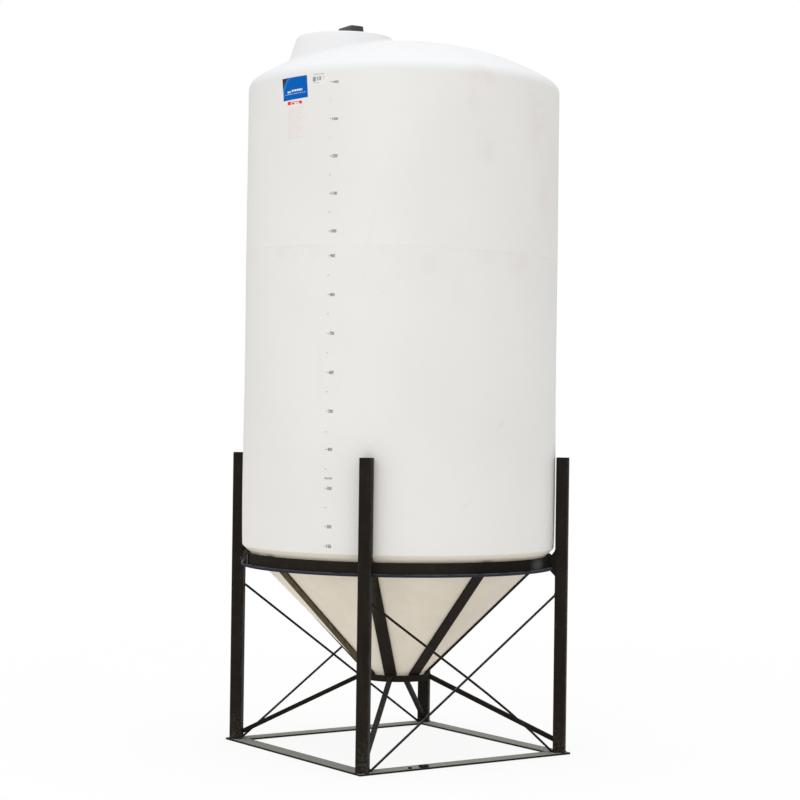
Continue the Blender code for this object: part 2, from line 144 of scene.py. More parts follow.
# Gallon scale: heights of the figures and of the lines half way between them
SCALE_MARKS = ((1400, 132.49), (1300, 125.36), (1200, 118.14), (1100, 110.93), (1000, 103.67),
               (900, 98.9), (800, 91.41), (700, 83.97), (600, 76.47), (500, 68.99), (400, 61.63),
               (300, 54.15), (200, 46.79), (150, 43.03))
HALF_MARKS = (128.9, 121.7, 114.5, 107.3, 95.15, 87.7, 80.2, 72.7, 65.0, 57.9, 50.45)
FIGURE_ANGLE = -25.4
TICK_ANGLE = -26.3
HALF_MARK_ANGLE = -26.4

# Stickers, by their corners (angle, height): left and right, top and bottom
STICKER = ((-48.39, 134.03), (-36.23, 134.18), (-35.65, 129.89), (-47.44, 129.59))
TAG = ((-34.09, 134.53), (-27.82, 134.5), (-27.82, 132.17), (-34.09, 132.1))
NOTICE = ((-45.28, 129.38), (-38.34, 129.5), (-37.9, 122.0), (-44.9, 121.9))

# How far prints and films stand proud of the wall, the lowest first
FIELD_PROUD = 0.008
INK_PROUD = 0.012
FILM_PROUD = 0.014
BAND_PROUD = 0.02
TOP_PROUD = 0.022

# Studio: how bright the sky is low and high, and the floor, in metres
SKY_LOW = 0.56
SKY_HIGH = 1.26
FLOOR_RADIUS = 40.64
FLOOR_SIDES = 96


# Shader graphs

class Nodes:
    """A tree of shader nodes, with short ways to add and link them."""

    def __init__(self, tree):
        self.tree = tree

    def put(self, socket, value):
        if isinstance(value, bpy.types.NodeSocket):
            self.tree.links.new(value, socket)
        elif isinstance(value, (tuple, list)) and len(value) == 3 and socket.type == "RGBA":
            socket.default_value = (*value, 1.0)
        else:
            socket.default_value = value

    def node(self, kind, inputs=None, output=0, **settings):
        made = self.tree.nodes.new("ShaderNode" + kind)
        for key, value in settings.items():
            setattr(made, key, value)
        for key, value in (inputs or {}).items():
            self.put(made.inputs[key], value)
        return made.outputs[output]

    def parts(self, vector):
        """The X, Y and Z of a vector."""
        split = self.tree.nodes.new("ShaderNodeSeparateXYZ")
        self.tree.links.new(vector, split.inputs[0])
        return split.outputs


class Graph(Nodes):
    """A material, with short names for the nodes that it uses."""

    def __init__(self, name):
        self.material = bpy.data.materials.new(name)
        self.material.use_nodes = True
        super().__init__(self.material.node_tree)
        self.shader = self.tree.nodes["Principled BSDF"]
        self.place = self.node("TexCoord", output="Object")
        self.x, self.y, self.z = self.parts(self.place)

    def math(self, operation, a, b=0.0, clamp=False):
        return self.node("Math", {0: a, 1: b}, operation=operation, use_clamp=clamp)

    def plus(self, a, b, clamp=False):
        return self.math("ADD", a, b, clamp)

    def minus(self, a, b):
        return self.math("SUBTRACT", a, b)

    def times(self, first, *others):
        for other in others:
            first = self.math("MULTIPLY", first, other)
        return first

    def mix(self, factor, a, b):
        return self.node("Mix", {0: factor, 6: a, 7: b}, output=2, data_type="RGBA")

    def tint(self, colour, ink, *factors):
        """Lays an ink over a colour, as strongly as the factors' product."""
        return self.mix(self.times(*factors), colour, ink)

    def fade(self, value, low, high):
        """0 at low and below, 1 at high and above, smooth between. Low may be the larger."""
        return self.node("MapRange", {"Value": value, "From Min": low, "From Max": high},
                         interpolation_type="SMOOTHSTEP")

    def fade_inches(self, value, low, high):
        return self.fade(value, low * INCH, high * INCH)

    def noise(self, scale, detail=3.0, roughness=0.55, stretch=None, seed=0.0, at=None):
        at = at or self.place
        if stretch or seed:
            at = self.node("Mapping", {"Vector": at, "Location": (seed, seed * 1.7, seed * 2.3),
                                       "Scale": stretch or (1.0, 1.0, 1.0)})
        return self.node("TexNoise", {"Vector": at, "Scale": scale, "Detail": detail,
                                      "Roughness": roughness})

    def shift(self, centre):
        """A place, counted from a centre."""
        return self.node("VectorMath", {0: self.place, 1: centre}, operation="SUBTRACT")

    def spot(self, centre, size):
        """1 at a place and 0 outside an ellipsoid round it."""
        scaled = self.node("VectorMath", {0: self.shift(centre), 1: size}, operation="DIVIDE")
        reach = self.node("VectorMath", {0: scaled}, output="Value", operation="LENGTH")
        return self.fade(reach, 1.0, 0.15)

    def along(self):
        """How far a place lies to the camera's right of the tank's axis."""
        return self.plus(self.times(self.x, math.cos(CAMERA_AZIMUTH)),
                         self.times(self.y, math.sin(CAMERA_AZIMUTH)))

    def normal(self):
        """The X, Y and Z of the surface's direction."""
        return self.parts(self.node("NewGeometry", output="Normal"))

    def facing(self, axis=2, low=0.5, high=0.95):
        """0 to 1 as the surface's direction along an axis goes from low to high."""
        return self.fade(self.normal()[axis], low, high)

    def bump(self, height, strength, distance, before=None):
        inputs = {"Height": height, "Strength": strength, "Distance": distance}
        if before:
            inputs["Normal"] = before
        return self.node("Bump", inputs)

    def finish(self, colour, rough, shine, **more):
        values = {"Base Color": colour, "Roughness": rough, "Specular IOR Level": shine, **more}
        for key, value in values.items():
            self.put(self.shader.inputs[key], value)
        return self.material


def round_point(radius, height, angle):
    """A point round the tank's axis, by its angle from -Y towards +X in radians."""
    return Vector((math.sin(angle) * radius, -math.cos(angle) * radius, height))


def camera_side(azimuth, radius, height):
    """A point round the tank, by its angle from the camera's direction, in metres."""
    return round_point(radius, height, CAMERA_AZIMUTH + math.radians(azimuth)) * INCH


# Plastic

def plain_plastic(g, fine):
    """White above and creamy below. The dome's brighter, bluer white is painted sky light, with the neck
    kept plainer; the creamy tone below is painted warm bounce light and shade, paler at the knuckle, with
    painted shade on the cone's right.
    """
    cloud = g.noise(1.6, 4.0)
    white = g.mix(g.fade(cloud, 0.3, 0.7), (0.742, 0.735, 0.704), (0.762, 0.755, 0.727))
    # Painted sky light: a brighter, bluer white from the shoulder up over the dome
    white = g.mix(g.fade_inches(g.z, 134.3, 135.4), white, (0.772, 0.778, 0.798))
    aside = g.minus(g.x, MANWAY_CENTRE.x * INCH)
    from_neck = g.math("SQRT", g.plus(g.times(aside, aside), g.times(g.y, g.y)))
    # The neck keeps a plainer, less blue white than the dome's painted sky light
    white = g.tint(white, (0.775, 0.777, 0.784), g.fade_inches(from_neck, 12.4, 11.4),
                   g.fade_inches(g.z, 136.5, 137.5))
    # Painted warm bounce light and shade: a creamy tone for the underside, paler towards the knuckle
    underside_bounce_shade = g.mix(g.fade(fine, 0.35, 0.7), (0.746, 0.673, 0.548), (0.78, 0.712, 0.592))
    underside_bounce_shade = g.mix(g.fade_inches(g.z, 39.6, 40.4), underside_bounce_shade, (0.84, 0.772, 0.655))
    # Painted shade on the cone's right
    underside_bounce_shade = g.tint(underside_bounce_shade, (0.56, 0.5, 0.41), g.fade_inches(g.along(), 4.0, 14.0),
                   g.fade_inches(g.z, 40.0, 38.0), 0.4)
    return g.mix(g.fade_inches(g.z, 41.85, 41.25), white, underside_bounce_shade)


def seam_stained(g, colour, off_seam, seam):
    """The mould's seam, a broken line with stains under it and a painted highlight over it."""
    broken = g.fade(g.noise(3.2, 3.0, 0.7, seed=14.0), 0.38, 0.62)
    below = g.times(g.fade_inches(off_seam, 0.05, -0.1), g.fade_inches(off_seam, -5.0, -0.4))
    above = g.times(g.fade_inches(off_seam, -0.05, 0.1), g.fade_inches(off_seam, 1.6, 0.3))
    patches = g.fade(g.noise(5.0, 3.0, 0.6, seed=8.0), 0.45, 0.62)
    colour = g.tint(colour, (0.60, 0.56, 0.50), seam, g.plus(g.times(broken, 0.16), 0.03))
    colour = g.tint(colour, (0.735, 0.675, 0.63), below, patches, 0.34)
    # Painted highlight: a lighter broken band just over the seam's ridge
    return g.tint(colour, (0.78, 0.765, 0.745), above, broken, 0.25)


def stained(g, colour):
    """Faint blushes on the wall, and a smudge at the shoulder."""
    blush = g.fade(g.noise(6.0, 4.0, 0.7, seed=5.0), 0.36, 0.6)
    for azimuth, height, size, ink, strength in STAINS:
        spot = g.spot(camera_side(azimuth, TANK_RADIUS, height), size)
        colour = g.tint(colour, ink, spot, blush, strength)
    smudge = g.spot(camera_side(42.5, 30.6, 136.0), (0.05, 0.05, 0.04))
    return g.tint(colour, (0.76, 0.74, 0.66), smudge, 0.5)


def scuffed(g, colour):
    """Groups of short slanting lines where the wall was rubbed."""
    for azimuth, height, lean, strength in SCUFFS:
        place = camera_side(azimuth, TANK_RADIUS, height)
        turn = CAMERA_AZIMUTH + math.radians(azimuth)
        at = g.shift(place)
        for key, value in (("Rotation", (0.0, 0.0, -turn)), ("Rotation", (0.0, math.radians(lean), 0.0)),
                           ("Scale", (3.0, 0.0, 70.0))):
            at = g.node("Mapping", {"Vector": at, key: value})
        lines = g.noise(1.0, 3.0, 0.6, at=at)
        colour = g.tint(colour, (0.56, 0.55, 0.52), g.spot(place, (0.16, 0.16, 0.15)),
                        g.fade(lines, 0.57, 0.72), strength)
    return colour


def tank_plastic():
    """Natural white moulded polyethylene, a little stained, with painted shade and bounce light making it
    creamy below and painted sky light on the dome.
    """
    g = Graph("tank_plastic")
    fine = g.noise(9.0, 5.0, 0.65, seed=3.0)
    off_seam = g.minus(g.z, g.plus(g.times(g.along(), SEAM_SLOPE), SEAM_HEIGHT * INCH))
    seam = g.fade_inches(g.math("ABSOLUTE", off_seam), 0.3, 0.05)
    colour = plain_plastic(g, fine)
    colour = seam_stained(g, colour, off_seam, seam)
    colour = scuffed(g, stained(g, colour))
    streaks = g.fade(g.noise(14.0, 4.0, 0.7, stretch=(1.0, 1.0, 0.16), seed=2.0), 0.58, 0.75)
    colour = g.tint(colour, (0.64, 0.62, 0.58), streaks, 0.1)
    specks = g.fade(g.noise(160.0, 2.0, 0.5, seed=4.0), 0.70, 0.78)
    colour = g.tint(colour, (0.5, 0.48, 0.44), specks, 0.12)
    rough = g.plus(g.times(fine, 0.16), 0.36)
    peel = g.bump(g.noise(260.0, 2.0), 0.12, 0.0006)
    swelling = g.bump(g.noise(2.6, 2.0, seed=7.0), 0.35, 0.006, peel)
    ridge = g.bump(seam, 0.2, 0.0012, swelling)
    return g.finish(colour, rough, 0.25, Normal=ridge)


def lid_plastic():
    """Dark grey moulded plastic, paler in patches on faces that point up, with painted light on the faces
    turned towards -X, where the key light falls.
    """
    g = Graph("lid_plastic")
    cloud = g.noise(8.0, 4.0, 0.6)
    colour = g.mix(g.fade(cloud, 0.3, 0.7), (0.036, 0.038, 0.048), (0.062, 0.064, 0.076))
    patches = g.fade(g.noise(30.0, 5.0, 0.7, seed=4.0), 0.35, 0.75)
    colour = g.tint(colour, (0.24, 0.24, 0.25), g.facing(2, 0.3, 1.0), patches, 0.22)
    # Painted light: paler on the faces turned towards -X, where the key light falls
    colour = g.tint(colour, (0.085, 0.088, 0.105), g.facing(0, -0.4, -0.9),
                    g.plus(g.times(patches, 0.25), 0.75))
    rough = g.plus(g.times(cloud, 0.2), 0.42)
    grain = g.bump(g.noise(500.0, 2.0), 0.25, 0.0004)
    return g.finish(colour, rough, 0.4, Normal=grain)


def printed(name, colour, worn=0.3, rough=0.5, shine=0.12):
    """Ink or film on the tank's side, thin in places."""
    g = Graph(name)
    wear = g.fade(g.noise(180.0, 4.0, 0.7), 0.52, 0.8)
    paler = tuple(0.5 * part + 0.38 for part in colour)
    made = g.tint(colour, paler, wear, worn)
    gloss = g.plus(g.times(wear, 0.15), rough)
    skin = g.bump(g.noise(320.0, 2.0), 0.1, 0.0003)
    return g.finish(made, gloss, shine, Normal=skin)


# Paint and steel. Each layer lays one more thing over the paint's colour.

def splashed(g, colour, runs, grit):
    """Dried mud near the floor."""
    low = g.fade_inches(g.z, 8.0, 0.6)
    return g.tint(colour, (0.16, 0.145, 0.12), low, g.fade(grit, 0.44, 0.68), 0.3)


def dried_film(g, colour, runs, grit):
    """A brown painted reflection of the ground on the camera's left of the cone."""
    reflected_brown = g.mix(g.fade(runs, 0.35, 0.65), (0.055, 0.038, 0.016), (0.1, 0.076, 0.036))
    return g.tint(colour, reflected_brown, g.fade_inches(g.along(), -3.5, -6.5), 0.9)


def worn_corners(g, colour, runs, grit):
    """A painted highlight in a broken line along the rounded corners of a tube."""
    level = [g.math("ABSOLUTE", part) for part in g.normal()[:2]]
    corner = g.fade(g.math("MAXIMUM", *level), 0.95, 0.99)
    highlight_mask = g.fade(g.noise(60.0, 4.0, 0.7, stretch=(1.0, 1.0, 0.3), seed=6.0), 0.42, 0.58)
    return g.tint(colour, (0.028, 0.029, 0.033), corner, highlight_mask)


def ring_wear(g, colour, runs, grit):
    """A faint dusting all over; painted shade towards the camera's right, with a painted highlight near its
    end; the flange bluish, a painted sky reflection, with a painted highlight along its top edge.
    """
    colour = g.mix(0.02, colour, (0.26, 0.24, 0.22))
    # Painted shade towards the camera's right
    colour = g.tint(colour, (0.004, 0.0035, 0.003), g.fade_inches(g.along(), 8.0, 21.0), 0.5)
    # Painted highlight near the ring's right end
    highlight_mask = g.spot(camera_side(62.0, RING_RADIUS, 38.8), (0.1, 0.1, 0.055))
    colour = g.mix(highlight_mask, colour, (0.06, 0.06, 0.062))
    # Painted sky reflection: the flange bluish
    flange = g.fade_inches(g.z, RING_FLANGE_TOP + 0.02, RING_FLANGE_TOP - 0.1)
    colour = g.mix(flange, colour, (0.027, 0.029, 0.043))
    # Painted highlight: a thin broken light line along the flange's top edge
    off_edge = g.math("ABSOLUTE", g.minus(g.z, (RING_FLANGE_TOP - 0.03) * INCH))
    return g.tint(colour, (0.09, 0.09, 0.1), g.fade_inches(off_edge, 0.09, 0.03), g.fade(runs, 0.35, 0.6))


def stand_paint(name, dust_and_sheen=0.2, dust_and_sheen_colour=(0.27, 0.28, 0.25), cover=0.0, streak=(1.0, 1.0, 0.08),
                sheen=0.44, shine=0.5, layers=()):
    """Black enamel on steel: uneven gloss, and a dusting on what faces up, which on the rods and base bars
    is also painted sky reflection. Cover evens it out.
    """
    g = Graph(name)
    cloud = g.noise(5.0, 4.0, 0.6)
    runs = g.noise(46.0, 3.0, 0.6, stretch=streak, seed=1.0)
    grit = g.noise(70.0, 5.0, 0.7, seed=2.0)
    colour = g.mix(g.fade(cloud, 0.3, 0.7), (0.0125, 0.0095, 0.0072), (0.0175, 0.0135, 0.0105))
    colour = g.tint(colour, (0.023, 0.02, 0.0165), g.fade(runs, 0.5, 0.72), 0.4)
    # A dusting on what faces up; on the rods and base bars it is also painted sky reflection
    settled = g.plus(g.times(g.fade(grit, 0.25, 0.75), 1.0 - cover), cover)
    dust_and_sheen_mask = g.times(g.facing(), settled)
    colour = g.tint(colour, dust_and_sheen_colour, dust_and_sheen_mask, dust_and_sheen)
    film = g.fade(g.noise(24.0, 5.0, 0.75, seed=9.0), 0.5, 0.8)
    colour = g.tint(colour, (0.22, 0.21, 0.19), film, 0.04)
    for layer in layers:
        colour = layer(g, colour, runs, grit)
    chips = g.fade(g.noise(120.0, 3.0, 0.6, seed=12.0), 0.735, 0.76)
    colour = g.tint(colour, (0.10, 0.045, 0.022), chips, 0.5)
    rough = g.plus(g.times(g.fade(cloud, 0.2, 0.8), 0.14), sheen)
    rough = g.plus(rough, g.times(dust_and_sheen_mask, 0.25), clamp=True)
    peel = g.bump(g.noise(420.0, 2.0), 0.14, 0.0004)
    laps = g.bump(runs, 0.22, 0.0007, peel)
    return g.finish(colour, rough, shine, Normal=laps, IOR=1.12)


def base_paint(name, dust_and_sheen_colour):
    """The base bars' tops are pale all over, some more than others: a dusting, and on the paler bars also a
    painted sky reflection.
    """
    return stand_paint(name, dust_and_sheen=0.97, dust_and_sheen_colour=dust_and_sheen_colour, cover=0.85, streak=(0.2, 0.2, 1.0))


def bolt_steel():
    """Plated bolts painted over with the stand, with bright metal where they were turned."""
    g = Graph("bolt_steel")
    spots = g.noise(90.0, 4.0, 0.65)
    colour = g.mix(g.fade(spots, 0.52, 0.7), (0.018, 0.018, 0.018), (0.24, 0.24, 0.24))
    rough = g.plus(g.times(spots, 0.3), 0.25)
    marks = g.bump(g.noise(700.0, 2.0), 0.2, 0.0003)
    return g.finish(colour, rough, 0.3, Normal=marks, Metallic=0.35)


def floor_paper():
    """Pale paper that brightens into the backdrop far out."""
    g = Graph("floor_paper")
    out = g.node("VectorMath", {0: g.place}, output="Value", operation="LENGTH")
    tone = g.mix(g.fade(g.noise(0.8, 3.0), 0.3, 0.7), (0.88, 0.88, 0.88), (0.9, 0.9, 0.9))
    g.finish(tone, 0.9, 0.1)
    share = g.plus(g.times(g.fade(out, 2.5, 8.0), 0.15), 0.85)
    blend = g.node("MixShader", {0: share, 1: g.shader.outputs[0], 2: g.node("Emission")})
    g.put(g.tree.nodes["Material Output"].inputs["Surface"], blend)
    return g.material


# Mesh helpers

def placed(name, data):
    """A new object in the scene."""
    thing = bpy.data.objects.new(name, data)
    bpy.context.scene.collection.objects.link(thing)
    return thing


class Shape:
    """Collects several small bodies into one mesh. Points are in inches."""

    def __init__(self):
        self.points = []
        self.faces = []

    def add(self, points, faces):
        start = len(self.points)
        self.points += points
        self.faces += [[start + i for i in face] for face in faces]

    def rings(self, rings, ends=True, loop=False):
        """Joins rings of equally many points into a skin, with end faces or in a loop."""
        count = len(rings[0])
        points = [p for ring in rings for p in ring]
        faces = []
        for row in range(len(rings) if loop else len(rings) - 1):
            a, b = row * count, (row + 1) % len(rings) * count
            for i in range(count):
                j = (i + 1) % count
                faces.append((a + i, a + j, b + j, b + i))
        if ends:
            faces.append(tuple(range(count))[::-1])
            faces.append(tuple((len(rings) - 1) * count + i for i in range(count)))
        self.add(points, faces)

    def prism(self, centre, axis, outline, heights, last):
        """An outline swept along an axis through three heights, with a scale at the last."""
        turn = axis.to_track_quat("Z", "Y").to_matrix()
        rings = []
        for height, scale in zip(heights, (1.0, 1.0, last)):
            rings.append([centre + turn @ Vector((x * scale, y * scale, height)) for x, y in outline])
        self.rings(rings)

    def bead(self, path, radius, generator, sides=6):
        """A weld bead along a path, a little uneven."""
        rings = []
        for i, point in enumerate(path):
            ahead = (path[min(i + 1, len(path) - 1)] - path[max(i - 1, 0)]).normalized()
            across = ahead.orthogonal().normalized()
            side = ahead.cross(across)
            size = radius * generator.uniform(0.78, 1.2)
            if i in (0, len(path) - 1):
                size *= 0.55
            rings.append([point + (across * x + side * y) * size for x, y in circle(1.0, sides)])
        self.rings(rings)

    def piece(self, name, material, slot, smooth=True, angle=40.0):
        """Makes the mesh piece, which rides on the object."""
        mesh = bpy.data.meshes.new(name)
        mesh.from_pydata([tuple(p * INCH) for p in self.points], [], self.faces)
        mesh.validate()
        mesh.materials.append(material)
        if smooth:
            mesh.shade_smooth()
            mesh.set_sharp_from_angle(angle=math.radians(angle))
        piece = placed(name, mesh)
        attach(piece, "root")
        return piece


def circle(radius, count, shift=0.0):
    """The points of a flat circle as (x, y)."""
    angles = [2 * math.pi * (i + shift) / count for i in range(count)]
    return [(radius * math.cos(angle), radius * math.sin(angle)) for angle in angles]


def spokes(count, shift=0.0):
    """Level directions, evenly spread over a full turn."""
    return [Vector((x, y, 0.0)) for x, y in circle(1.0, count, shift)]


def line(start, end, step=0.35):
    count = max(2, math.ceil((end - start).length / step))
    return [start.lerp(end, i / count) for i in range(count + 1)]


def square_path(centre, wide, tall, step=0.35, gap=0.0):
    """A path round a square from its half sides, less a share at both ends of each side."""
    corners = [centre + wide * x + tall * y for x, y in CORNERS + CORNERS[:1]]
    path = []
    for start, end in zip(corners, corners[1:]):
        path += line(start.lerp(end, gap), start.lerp(end, 1.0 - gap), step)
    return path


def curve_round(radius, height, middle, half, step=0.35):
    """Points round the tank's axis, by the arc's middle and its half angle in radians."""
    count = max(2, math.ceil(2 * half * radius / step))
    return [round_point(radius, height, middle + half * (2 * i / count - 1)) for i in range(count + 1)]


def eased(start, corner, end, t):
    """A point on the smooth curve from start to end that bends towards a corner."""
    return (1 - t) ** 2 * start + 2 * t * (1 - t) * corner + t * t * end


def rounded(corners, radius, steps=3):
    """A closed outline with its corners rounded. Corners are (x, y)."""
    made = []
    for i, corner in enumerate(corners):
        corner = Vector(corner)
        before = Vector(corners[i - 1]) - corner
        after = Vector(corners[(i + 1) % len(corners)]) - corner
        near = min(radius, before.length * 0.45, after.length * 0.45)
        start = corner + before.normalized() * near
        end = corner + after.normalized() * near
        made += [eased(start, corner, end, k / steps) for k in range(steps + 1)]
    return [tuple(p) for p in made]


def turned(name, profile, material, slot, centre=Vector((0.0, 0.0, 0.0)), steps=SEGMENTS, angle=25.0):
    """A closed profile of (radius, height) turned about an upright axis."""
    shape = Shape()
    rings = [[centre + way * radius + UP * height for radius, height in profile] for way in spokes(steps)]
    shape.rings(rings, ends=False, loop=True)
    return shape.piece(name, material, slot, angle=angle)


def grid(columns, rows, place):
    """A patch of four-sided faces. place turns shares along and across into a point."""
    points = [place(i / columns, j / rows) for j in range(rows + 1) for i in range(columns + 1)]
    starts = [j * (columns + 1) + i for j in range(rows) for i in range(columns)]
    return points, [(a, a + 1, a + columns + 2, a + columns + 1) for a in starts]


# Tank

def dome_height(radius):
    return DOME_TOP - (DOME_TOP - DOME_EDGE_HEIGHT) * (radius / DOME_EDGE_RADIUS) ** DOME_FALL_POWER


def swell(x, y, z):
    """How far the moulded wall stands proud of a true round, in inches."""
    broad = noise.noise(Vector((x, y, z)) * 0.035)
    close = noise.noise(Vector((x + 90.0, y, z)) * 0.11)
    low = math.exp(-((z - 54.0) / 16.0) ** 2)
    middle = math.exp(-((z - 100.0) / 18.0) ** 2)
    return 0.22 * low + 0.08 * middle + 0.035 * broad + 0.012 * close


def wall_point(angle, height, proud=0.0):
    """A point on the upright wall, by its angle from -Y towards +X in radians, in inches."""
    x, y = math.sin(angle), -math.cos(angle)
    radius = TANK_RADIUS + swell(x * TANK_RADIUS, y * TANK_RADIUS, height) + proud
    return Vector((x * radius, y * radius, height))


def neck_profile():
    """The neck's outer side, from the rim's flat down to its root, as (radius, height)."""
    edge = RIM_HEIGHT - RIM_ROUND
    points = []
    for i in range(9):
        angle = math.pi / 2 * (1 - i / 8)
        points.append((RIM_RADIUS - RIM_ROUND + RIM_ROUND * math.cos(angle),
                       edge + RIM_ROUND * math.sin(angle)))
    for i in range(1, NECK_STEPS + 1):
        height = edge + (NECK_ROOT_HEIGHT - edge) * i / NECK_STEPS
        points.append((RIM_RADIUS + (edge - height) * RIM_TAPER, height))
    return points


def neck_column(way, profile):
    """One column of the neck's skin down to the dome, with a fillet where they meet."""
    def over_dome(radius, height):
        return height - dome_height((MANWAY_CENTRE + way * radius).length)

    foot = next(i for i in range(1, len(profile)) if over_dome(*profile[i]) <= 0)
    above, below = over_dome(*profile[foot - 1]), over_dome(*profile[foot])
    path = [Vector(p) for p in profile[:foot]]
    path.append(Vector(profile[foot - 1]).lerp(Vector(profile[foot]), above / (above - below)))
    lengths = [0.0]
    for a, b in zip(path, path[1:]):
        lengths.append(lengths[-1] + (b - a).length)
    fillet = min(NECK_FILLET, 0.6 * lengths[-1])

    def part_way(distance):
        for i in range(1, len(path)):
            if distance <= lengths[i] or i == len(path) - 1:
                share = (distance - lengths[i - 1]) / max(1e-9, lengths[i] - lengths[i - 1])
                return path[i - 1].lerp(path[i], min(1.0, share))

    reach = path[-1].x + fillet
    outer = Vector((reach, dome_height((MANWAY_CENTRE + way * reach).length)))
    straight = lengths[-1] - fillet
    column = [part_way(straight * i / 8) for i in range(9)]
    column += [eased(part_way(straight), path[-1], outer, i / 6) for i in range(1, 7)]
    return [MANWAY_CENTRE.to_3d() + (way * p.x).to_3d() + UP * p.y for p in column]


def side_profile():
    """The tank's side below the dome as (radius, height): shoulder, wall, knuckle and cone."""
    slope = -DOME_FALL_POWER * (DOME_TOP - DOME_EDGE_HEIGHT) / DOME_EDGE_RADIUS
    start = Vector((DOME_EDGE_RADIUS, DOME_EDGE_HEIGHT))
    end = Vector((TANK_RADIUS, SHOULDER_HEIGHT))
    corner = Vector((TANK_RADIUS, start.y + slope * (TANK_RADIUS - start.x)))
    side = [eased(start, corner, end, i / SHOULDER_STEPS) for i in range(1, SHOULDER_STEPS + 1)]
    knuckle_top = TANK_RADIUS + CONE_OFFSET + KNUCKLE_RADIUS * math.tan(math.pi / 8)
    for i in range(1, WALL_STEPS + 1):
        height = SHOULDER_HEIGHT + (knuckle_top - SHOULDER_HEIGHT) * i / WALL_STEPS
        side.append(Vector((TANK_RADIUS, height)))
    for i in range(1, KNUCKLE_STEPS + 1):
        angle = math.pi / 4 * i / KNUCKLE_STEPS
        side.append(Vector((TANK_RADIUS - KNUCKLE_RADIUS * (1 - math.cos(angle)),
                            knuckle_top - KNUCKLE_RADIUS * math.sin(angle))))
    bend = side[-1].y
    for i in range(1, CONE_STEPS + 1):
        height = bend + (CONE_TIP_HEIGHT - bend) * i / CONE_STEPS
        side.append(Vector((height - CONE_OFFSET, height)))
    return [tuple(p) for p in side]


def top_rows(ways):
    """Rows of points from the manway's mouth over its neck and the dome, to the dome's edge."""
    centre = MANWAY_CENTRE.to_3d()
    rows = []
    for radius, drop in ((MOUTH_RADIUS, 0.45), (MOUTH_RADIUS, 0.08), (MOUTH_RADIUS + 0.08, 0.0), (8.6, 0.0)):
        rows.append([centre + way * radius + UP * (RIM_HEIGHT - drop) for way in ways])
    profile = neck_profile()
    columns = [neck_column(Vector(way[:2]), profile) for way in ways]
    rows += [list(row) for row in zip(*columns)]
    neck_root = rows[-1]
    for k in range(1, DOME_STEPS + 1):
        share = (k / DOME_STEPS) ** 1.15
        flats = [start.to_2d().lerp(way.to_2d() * DOME_EDGE_RADIUS, share)
                 for start, way in zip(neck_root, ways)]
        rows.append([Vector((*flat, dome_height(flat.length))) for flat in flats])
    return rows


def build_tank_skin(material):
    """The tank as the one moulded body it is: neck, dome, shoulder, wall, knuckle and cone."""
    ways = spokes(SEGMENTS)
    rows = top_rows(ways)
    for radius, height in side_profile():
        calm = min(1.0, max(0.0, (height - 41.0) / 1.2)) * min(1.0, max(0.0, (138.0 - height) / 3.0))
        row = []
        for way in ways:
            proud = calm * swell(way.x * radius, way.y * radius, height)
            row.append(way * (radius + proud) + UP * height)
        rows.append(row)
    tip = CONE_TIP_HEIGHT - CONE_OFFSET
    rows.append([way * (tip - 0.1) + UP * (CONE_TIP_HEIGHT - 0.04) for way in ways])

    shape = Shape()
    shape.rings([row[::-1] for row in rows], ends=False)
    last = (len(rows) - 1) * SEGMENTS
    shape.faces.append([last + i for i in range(SEGMENTS)])
    skin = shape.piece("tank_skin", material, "tank_plastic", angle=60.0)
    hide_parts("tank_wall", "tank_dome", "tank_cone")


# Gallon scale and stickers

def text_outline(text, height):
    """Flat faces of plain figures, with their lower left corner at the origin, in inches."""
    curve = bpy.data.curves.new("figures", "FONT")
    curve.body = text
    curve.resolution_u = 3
    curve.offset = 0.016
    figure = placed("figures", curve)
    bpy.context.view_layer.update()
    mesh = bpy.data.meshes.new_from_object(figure.evaluated_get(bpy.context.evaluated_depsgraph_get()))
    points = [v.co.copy() for v in mesh.vertices]
    faces = [tuple(p.vertices) for p in mesh.polygons]
    bpy.data.objects.remove(figure, do_unlink=True)
    bpy.data.meshes.remove(mesh)
    bpy.data.curves.remove(curve)
    left = min(p.x for p in points)
    low = min(p.y for p in points)
    scale = height / (max(p.y for p in points) - low)
    return [((p.x - left) * scale, (p.y - low) * scale) for p in points], faces


def wrap(shape, flat, faces, azimuth, height, wide=None):
    """Lays a flat drawing on the wall. Its origin is at an angle from the camera's direction."""
    scale = wide / max(x for x, _ in flat) if wide else 1.0
    angle = CAMERA_AZIMUTH + math.radians(azimuth)
    points = [wall_point(angle + x * scale / TANK_RADIUS, height + y, INK_PROUD) for x, y in flat]
    shape.add(points, faces)


def dash(shape, width, thick, azimuth, height):
    """A short level line on the wall."""
    wrap(shape, *grid(2, 1, lambda u, v: (width * u, thick * v)), azimuth, height)


def build_scale():
    """Gallon figures, each with a short line, and lines half way between them."""
    figures = Shape()
    for gallons, height in SCALE_MARKS:
        flat, faces = text_outline(str(gallons), 0.52 if gallons > 1200 else 0.66)
        wrap(figures, flat, faces, FIGURE_ANGLE, height - 0.33, 1.2 if gallons >= 1000 else 1.0)
        dash(figures, 0.42, 0.08, TICK_ANGLE, height - 0.04)
    wrap(figures, *text_outline("GALLONS", 0.36), HALF_MARK_ANGLE, 55.9, 1.6)
    figures.piece("gallon_figures", printed("gallon_ink", (0.13, 0.045, 0.05), 0.35), "marking_ink",
                  smooth=False)
    halves = Shape()
    for height in HALF_MARKS:
        dash(halves, 0.38, 0.05 if height > 120.0 else 0.11, HALF_MARK_ANGLE, height - 0.055)
    halves.piece("half_marks", printed("half_mark_ink", (0.35, 0.3, 0.3), 0.4), "marking_ink",
                 smooth=False)


def between(corners, u, v):
    """The angle and height at shares u across and v down a field with four corners."""
    return tuple((1 - v) * ((1 - u) * a + u * b) + v * ((1 - u) * d + u * c)
                 for a, b, c, d in zip(*corners))


